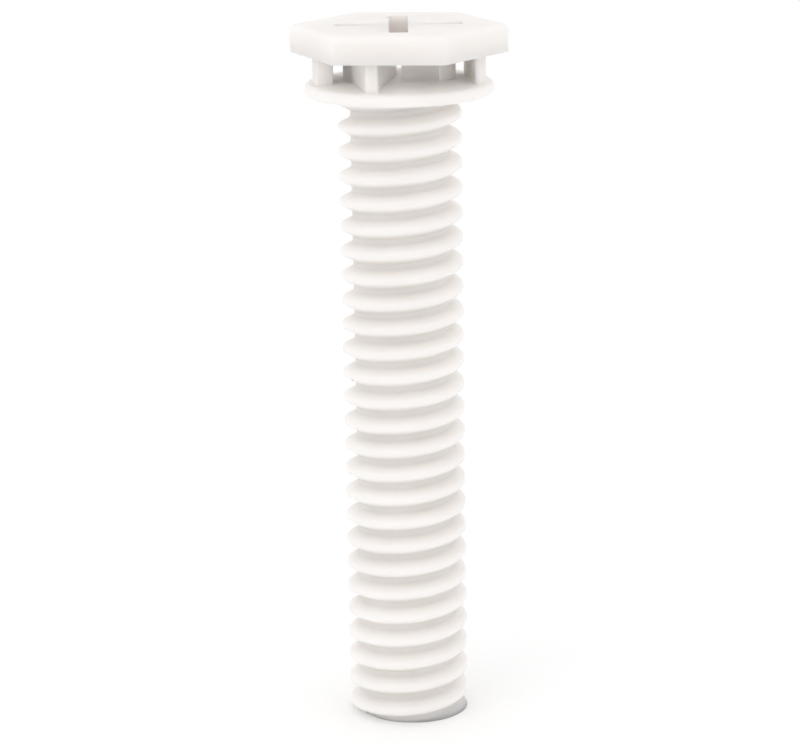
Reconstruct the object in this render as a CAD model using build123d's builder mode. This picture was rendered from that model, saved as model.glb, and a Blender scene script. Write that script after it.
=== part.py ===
from build123d import *
import os

# Adjustable screw foot, one moulded piece. All sizes are in millimetres.
# Z = 0 is the flat end of the threaded stem and +Z runs up the stem to the hexagonal head.

# Threaded stem
pitch = 4.0
thread_major = 19.6
thread_root = 15.6
crest_width = 1.0
root_width = 1.0
root_sink = 0.4
crest_height_at_x = 3.5
stem_length = 102.55

# Round flange at the top of the thread
flange_diameter = 29.9
flange_thickness = 2.05
flange_rise = 0.45
flange_rise_radius = 9.0

# Hexagonal head
head_across_flats = 30.0
head_thickness = 4.3
head_corner_round = 1.0
head_edge_round = 0.8

# Open neck between the flange and the head
neck_height = 4.6
post_reach = 13.2
post_tip_left = 3.7
post_tip_right = 1.9
post_base_y = 3.5
post_base_inner = 0.7
post_base_outer = 6.8
post_flare_x = 9.0
post_flare_y = 0.6
post_round = 0.4
wall_radius = 13.6
wall_front_x = 12.3
wall_front_y = 4.0
wall_back_x = 9.6
wall_back_y = 6.0
wall_round = 0.2

# Cross slot for a driver
slot_length = 20.0
slot_width = 3.0
slot_into_neck = 1.7
slot_round = 0.3
slot_turn = 6.0

thread_radius = thread_major / 2
root_radius = thread_root / 2
flange_bottom = stem_length
flange_top = flange_bottom + flange_thickness
flange_radius = flange_diameter / 2
rim_centre = flange_radius - flange_thickness / 2
head_bottom = flange_top + neck_height
head_top = head_bottom + head_thickness
joint_sink = 0.4
base_half_width = (pitch - root_width) / 2
flank_slope = (base_half_width - crest_width / 2) / (thread_radius - root_radius)
sunk_half_width = base_half_width + flank_slope * root_sink


with BuildPart() as screw_foot:
    # Core of the stem
    with BuildSketch(Plane.XY):
        Circle(root_radius)
    extrude(amount=flange_bottom + flange_thickness / 2)

    # One coarse right-hand ridge, swept along a helix and sunk a little into the core
    with BuildPart(mode=Mode.PRIVATE) as ridge:
        helix_start = crest_height_at_x - 2 * pitch
        with BuildLine():
            Helix(pitch, 28 * pitch, root_radius, center=(0, 0, helix_start))
        with BuildSketch(Plane.XZ):
            with BuildLine():
                Polyline(
                    (root_radius - root_sink, helix_start - sunk_half_width),
                    (thread_radius, helix_start - crest_width / 2),
                    (thread_radius, helix_start + crest_width / 2),
                    (root_radius - root_sink, helix_start + sunk_half_width),
                    close=True,
                )
            make_face()
        sweep(is_frenet=True)
        # The ridge ends flush with the flat end of the stem and inside the flange
        with BuildSketch(Plane.XY):
            Circle(thread_radius + 2)
        extrude(amount=flange_bottom + flange_thickness / 2, mode=Mode.INTERSECT)
    add(ridge.part)

    # Flange with a full round rim, a little thicker towards the neck
    with BuildSketch(Plane.XZ):
        with BuildLine():
            Line((0, flange_bottom), (rim_centre, flange_bottom))
            ThreePointArc(
                (rim_centre, flange_bottom),
                (flange_radius, flange_bottom + flange_thickness / 2),
                (rim_centre, flange_top),
            )
            Polyline(
                (rim_centre, flange_top),
                (flange_rise_radius, flange_top + flange_rise),
                (0, flange_top + flange_rise),
                (0, flange_bottom),
            )
        make_face()
    revolve(axis=Axis.Z)

    # Two tapered posts of the neck, each turned half a turn from the other
    with BuildSketch(Plane.XY.offset(flange_top - joint_sink)) as posts:
        with PolarLocations(0, 2):
            Polygon(
                (-post_tip_right, -post_reach),
                (-post_base_inner, post_base_y),
                (-post_base_outer, post_base_y),
                (-post_flare_x, post_flare_y),
                (-post_tip_left, -post_reach),
                align=None,
            )
        fillet(posts.vertices(), post_round)
    extrude(amount=neck_height + 2 * joint_sink)

    # Two side walls of the neck that follow the rim of the flange
    front_outer_x = (wall_radius**2 - wall_front_y**2) ** 0.5
    back_outer_x = (wall_radius**2 - wall_back_y**2) ** 0.5
    with BuildSketch(mode=Mode.PRIVATE) as wall:
        with BuildLine():
            Line((wall_front_x, -wall_front_y), (front_outer_x, -wall_front_y))
            ThreePointArc(
                (front_outer_x, -wall_front_y),
                (wall_radius, 0),
                (back_outer_x, wall_back_y),
            )
            Line((back_outer_x, wall_back_y), (wall_back_x, wall_back_y))
            Line((wall_back_x, wall_back_y), (wall_front_x, -wall_front_y))
        make_face()
        fillet(wall.vertices(), wall_round)
    with BuildSketch(Plane.XY.offset(flange_top - joint_sink)):
        with PolarLocations(0, 2):
            add(wall.sketch)
    extrude(amount=neck_height + 2 * joint_sink)

    # Hexagonal head with rounded corners and a rounded top edge
    with BuildPart(mode=Mode.PRIVATE) as head:
        with BuildSketch(Plane.XY.offset(head_bottom)) as hexagon:
            RegularPolygon(head_across_flats / 2, 6, major_radius=False)
            fillet(hexagon.vertices(), head_corner_round)
        extrude(amount=head_top - head_bottom)
        fillet(head.faces().sort_by(Axis.Z)[-1].edges(), head_edge_round)
    add(head.part)

    # Cross slot through the head and a little into the tops of the posts
    with BuildSketch(Plane.XY.offset(head_top)) as cross:
        Rectangle(slot_length, slot_width, rotation=slot_turn)
        Rectangle(slot_width, slot_length, rotation=slot_turn)
        fillet(cross.vertices(), slot_round)
    extrude(amount=-(head_thickness + slot_into_neck), mode=Mode.SUBTRACT)

os.makedirs("parts", exist_ok=True)
screw_foot.part.label = "screw_foot"
export_step(screw_foot.part, "parts/screw_foot.step")
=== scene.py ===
import math
import bmesh
import bpy
from mathutils import Matrix, Vector


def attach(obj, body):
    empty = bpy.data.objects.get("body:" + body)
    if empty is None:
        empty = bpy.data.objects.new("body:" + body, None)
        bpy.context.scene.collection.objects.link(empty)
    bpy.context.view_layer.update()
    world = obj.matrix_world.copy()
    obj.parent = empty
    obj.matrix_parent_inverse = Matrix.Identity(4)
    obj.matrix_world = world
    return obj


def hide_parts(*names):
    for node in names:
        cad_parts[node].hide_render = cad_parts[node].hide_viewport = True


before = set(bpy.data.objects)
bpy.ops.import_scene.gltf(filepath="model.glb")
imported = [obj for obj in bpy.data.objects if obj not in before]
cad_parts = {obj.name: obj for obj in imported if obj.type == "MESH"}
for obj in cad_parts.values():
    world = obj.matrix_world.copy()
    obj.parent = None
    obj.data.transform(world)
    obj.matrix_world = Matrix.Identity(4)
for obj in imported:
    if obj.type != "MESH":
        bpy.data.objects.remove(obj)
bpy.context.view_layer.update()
scene = bpy.context.scene


# Screw foot
# One piece of white polypropylene: hexagonal pad, open neck, flange and coarse threaded stem.
# It is injection moulded, so every face has the same satin skin, and only handling, dust and painted shade
# in the roots of the thread tell the faces apart.

def linear(hex_colour):
    values = [int(hex_colour[i:i + 2], 16) / 255 for i in (1, 3, 5)]
    return [v / 12.92 if v <= 0.04045 else ((v + 0.055) / 1.055) ** 2.4 for v in values] + [1.0]


def add_node(tree, kind, settings=None, **inputs):
    made = tree.nodes.new(kind)
    for name, value in (settings or {}).items():
        setattr(made, name, value)
    for name, value in inputs.items():
        key = int(name[1:]) if name[0] == "_" and name[1:].isdigit() else name.replace("_", " ")
        if isinstance(value, bpy.types.NodeSocket):
            tree.links.new(value, made.inputs[key])
        else:
            made.inputs[key].default_value = value
    return made


PER_MM = 1000.0  # object coordinates are metres, so a feature of n mm has a scale of 1000 / n

clean_white = linear("#EEEAE7")
shaded_white = linear("#E9E5E2")
# The darker white below is the colour for dust and painted shade in the roots of the thread
root_dust_and_painted_shade_white = linear("#DBD8D3")
speck_grey = linear("#77746C")

# Moulded polypropylene: a soft satin gloss, light that enters a little below the skin,
# faint flow clouds in the white and the fine tooth of a spark-eroded mould.
polypropylene = bpy.data.materials.new("moulded_white_polypropylene")
polypropylene.use_nodes = True
tree = polypropylene.node_tree
shader = tree.nodes["Principled BSDF"]
place = add_node(tree, "ShaderNodeTexCoord").outputs["Object"]

# Flow clouds, about 14 mm across, where the melt cooled at different speeds
flow = add_node(tree, "ShaderNodeTexNoise", Vector=place, Scale=PER_MM / 14, Detail=3.0, Roughness=0.5)
flow_share = add_node(tree, "ShaderNodeMapRange", Value=flow.outputs["Fac"], From_Min=0.35, From_Max=0.7)
white = add_node(
    tree, "ShaderNodeMix", {"data_type": "RGBA"},
    _0=flow_share.outputs["Result"], _6=clean_white, _7=shaded_white,
)

# Dust and painted shade in the roots of the thread: from 7.8 mm to 8.9 mm from the axis, darker towards the root,
# below the flange, in patches of 5 mm
axes = add_node(tree, "ShaderNodeSeparateXYZ", Vector=place)
across = add_node(tree, "ShaderNodeCombineXYZ", X=axes.outputs["X"], Y=axes.outputs["Y"])
radius = add_node(tree, "ShaderNodeVectorMath", {"operation": "LENGTH"}, _0=across.outputs["Vector"])
root_depth_for_dust_and_shade = add_node(
    tree, "ShaderNodeMapRange", Value=radius.outputs["Value"],
    From_Min=0.0089, From_Max=0.0078, To_Max=0.55,
)
on_stem = add_node(tree, "ShaderNodeMapRange", Value=axes.outputs["Z"], From_Min=0.1045, From_Max=0.1025)
patches = add_node(tree, "ShaderNodeTexNoise", Vector=place, Scale=PER_MM / 5, Detail=4.0)
dust_and_shade_where = add_node(
    tree, "ShaderNodeMath", {"operation": "MULTIPLY"},
    _0=root_depth_for_dust_and_shade.outputs["Result"], _1=on_stem.outputs["Result"],
)
dust_and_shade_share = add_node(
    tree, "ShaderNodeMath", {"operation": "MULTIPLY"},
    _0=dust_and_shade_where.outputs["Value"], _1=patches.outputs["Fac"],
)
# Mixes in the darker white: painted shade in the thread roots, in part dust
dusty_and_shaded = add_node(
    tree, "ShaderNodeMix", {"data_type": "RGBA"},
    _0=dust_and_shade_share.outputs["Value"], _6=white.outputs[2], _7=root_dust_and_painted_shade_white,
)

# Rare dark specks in the melt, about 0.3 mm across in cells of 11 mm
cells = add_node(tree, "ShaderNodeTexVoronoi", Vector=place, Scale=PER_MM / 11)
speck = add_node(
    tree, "ShaderNodeMapRange", Value=cells.outputs["Distance"],
    From_Min=0.03, From_Max=0.018, To_Max=0.8,
)
colour = add_node(
    tree, "ShaderNodeMix", {"data_type": "RGBA"},
    _0=speck.outputs["Result"], _6=dusty_and_shaded.outputs[2], _7=speck_grey,
)
tree.links.new(colour.outputs[2], shader.inputs["Base Color"])

# Gloss that wanders with handling, in patches of 9 mm
rubbed = add_node(tree, "ShaderNodeTexNoise", Vector=place, Scale=PER_MM / 9, Detail=5.0)
gloss = add_node(
    tree, "ShaderNodeMapRange", Value=rubbed.outputs["Fac"],
    From_Min=0.3, From_Max=0.7, To_Min=0.40, To_Max=0.54,
)
tree.links.new(gloss.outputs["Result"], shader.inputs["Roughness"])

# Mould tooth of 0.35 mm, drawn coarser than the real 0.05 mm so that it shows, over faint sink waves of 6 mm
tooth = add_node(tree, "ShaderNodeTexNoise", Vector=place, Scale=PER_MM / 0.35, Detail=2.0)
waves = add_node(tree, "ShaderNodeTexNoise", Vector=place, Scale=PER_MM / 6, Detail=1.0)
waved = add_node(tree, "ShaderNodeBump", Height=waves.outputs["Fac"], Strength=0.25, Distance=0.0002)
grained = add_node(
    tree, "ShaderNodeBump", Height=tooth.outputs["Fac"], Normal=waved.outputs["Normal"],
    Strength=0.25, Distance=0.00002,
)
tree.links.new(grained.outputs["Normal"], shader.inputs["Normal"])
shader.inputs["IOR"].default_value = 1.49
shader.inputs["Subsurface Weight"].default_value = 0.8
shader.inputs["Subsurface Radius"].default_value = (1.0, 0.95, 0.9)
shader.inputs["Subsurface Scale"].default_value = 0.003

# Stem: one pitch of the thread's outline with rounded crest and root, wound up the axis in metres
pitch, root_radius, crest_radius = 0.004, 0.0078, 0.0098
crest_half, root_half = 0.0005, 0.0005
crest_height_at_x, flange_bottom = 0.0035, 0.10255
turns, steps_per_turn = 28, 48
outline = [
    (root_radius, -pitch / 2), (root_radius, -pitch / 2 + root_half), (crest_radius, -crest_half),
    (crest_radius, crest_half), (root_radius, pitch / 2 - root_half), (root_radius, pitch / 2),
]
first_crest = crest_height_at_x - 2 * pitch
shape = bmesh.new()
corners = [shape.verts.new((r, 0.0, first_crest + z)) for r, z in outline]
for low_corner, high_corner in zip(corners, corners[1:]):
    shape.edges.new((low_corner, high_corner))
for bent, reach in ((corners[2:4], 0.00045), ((corners[1], corners[4]), 0.0003)):
    bmesh.ops.bevel(
        shape, geom=list(bent), offset=reach, offset_type="OFFSET", affect="VERTICES",
        segments=4, profile=0.5, material=-1, clamp_overlap=True,
    )
bmesh.ops.spin(
    shape, geom=shape.verts[:] + shape.edges[:], cent=(0, 0, 0), axis=(0, 0, 1),
    dvec=(0, 0, pitch / steps_per_turn), angle=2 * math.pi * turns, steps=turns * steps_per_turn,
)
bmesh.ops.remove_doubles(shape, verts=shape.verts, dist=0.000002)
for height, side in ((0.0, "clear_inner"), (flange_bottom + 0.001, "clear_outer")):
    bmesh.ops.bisect_plane(
        shape, geom=shape.verts[:] + shape.edges[:] + shape.faces[:], dist=1e-7,
        plane_co=(0, 0, height), plane_no=(0, 0, 1), **{side: True},
    )
    rim = [e for e in shape.edges if e.is_boundary and all(abs(v.co.z - height) < 1e-6 for v in e.verts)]
    bmesh.ops.edgeloop_fill(shape, edges=rim)
bmesh.ops.recalc_face_normals(shape, faces=shape.faces)

# Head, neck and flange: the moulding above the stem, closed where the stem enters the flange
top = bmesh.new()
top.from_mesh(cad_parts["screw_foot"].data)
bmesh.ops.remove_doubles(top, verts=top.verts, dist=0.000002)
bmesh.ops.bisect_plane(
    top, geom=top.verts[:] + top.edges[:] + top.faces[:], dist=1e-7,
    plane_co=(0, 0, flange_bottom - 0.00001), plane_no=(0, 0, 1), clear_inner=True,
)
bmesh.ops.edgeloop_fill(top, edges=[e for e in top.edges if e.is_boundary])
top_mesh = bpy.data.meshes.new("head_and_flange")
top.to_mesh(top_mesh)
top.free()
shape.from_mesh(top_mesh)
bpy.data.meshes.remove(top_mesh)

skin_mesh = bpy.data.meshes.new("screw_foot_skin")
shape.to_mesh(skin_mesh)
shape.free()
skin_mesh.shade_smooth()
skin_mesh.set_sharp_from_angle(angle=math.radians(32))
skin_mesh.materials.append(polypropylene)
screw_foot = bpy.data.objects.new("screw_foot_skin", skin_mesh)
scene.collection.objects.link(screw_foot)
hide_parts("screw_foot")
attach(screw_foot, "root")


# Floor
# A pale studio sweep far larger than the picture, so that its edge never shows.
floor_mesh = bpy.data.meshes.new("floor")
floor_mesh.from_pydata([(-6, -6, 0), (6, -6, 0), (6, 6, 0), (-6, 6, 0)], [], [(0, 1, 2, 3)])
floor = bpy.data.objects.new("floor", floor_mesh)
scene.collection.objects.link(floor)
floor_paper = bpy.data.materials.new("white_studio_paper")
floor_paper.use_nodes = True
paper = floor_paper.node_tree.nodes["Principled BSDF"]
paper.inputs["Base Color"].default_value = linear("#FEFEFE")
paper.inputs["Roughness"].default_value = 0.9
floor_mesh.materials.append(floor_paper)


# Light
# A white tent all round, a large soft box above the front left and a weaker one on the right.
tent = bpy.data.worlds.new("white_tent")
scene.world = tent
tent.use_nodes = True
tent.node_tree.nodes["Background"].inputs["Color"].default_value = (1.0, 1.0, 1.0, 1.0)
tent.node_tree.nodes["Background"].inputs["Strength"].default_value = 1.0

for name, spot, width, power in (
    ("soft_box_left", (-0.35, -0.45, 0.55), 0.5, 0.5),
    ("soft_box_right", (0.55, -0.25, 0.30), 0.4, 0.1),
):
    light = bpy.data.lights.new(name, "AREA")
    light.size = width
    light.energy = power
    lamp = bpy.data.objects.new(name, light)
    lamp.location = spot
    lamp.rotation_euler = (Vector((0, 0, 0.07)) - Vector(spot)).to_track_quat("-Z", "Y").to_euler()
    scene.collection.objects.link(lamp)


# Camera
# The photograph's own viewpoint: a long lens, a little above the head and a few degrees to the right.
distance = 0.4348
azimuth = math.radians(6.3)
elevation = math.radians(14.875)
roll = math.radians(-0.951)
back = Vector((math.sin(azimuth) * math.cos(elevation), -math.cos(azimuth) * math.cos(elevation), math.sin(elevation)))
right = Vector((math.cos(azimuth), math.sin(azimuth), 0.0))
up = back.cross(right)
turned_right = math.cos(roll) * right + math.sin(roll) * up
turned_up = math.cos(roll) * up - math.sin(roll) * right
eye = Vector((0, 0, 0.05717)) - 0.000637 * right + distance * back

lens = bpy.data.cameras.new("camera")
lens.sensor_fit = "HORIZONTAL"
lens.sensor_width = 36.0
lens.lens = 121.3
lens.clip_start = 0.01
camera = bpy.data.objects.new("camera", lens)
camera.matrix_world = Matrix((
    (turned_right.x, turned_up.x, back.x, eye.x),
    (turned_right.y, turned_up.y, back.y, eye.y),
    (turned_right.z, turned_up.z, back.z, eye.z),
    (0.0, 0.0, 0.0, 1.0),
))
scene.collection.objects.link(camera)
scene.camera = camera
scene.view_settings.view_transform = "Standard"
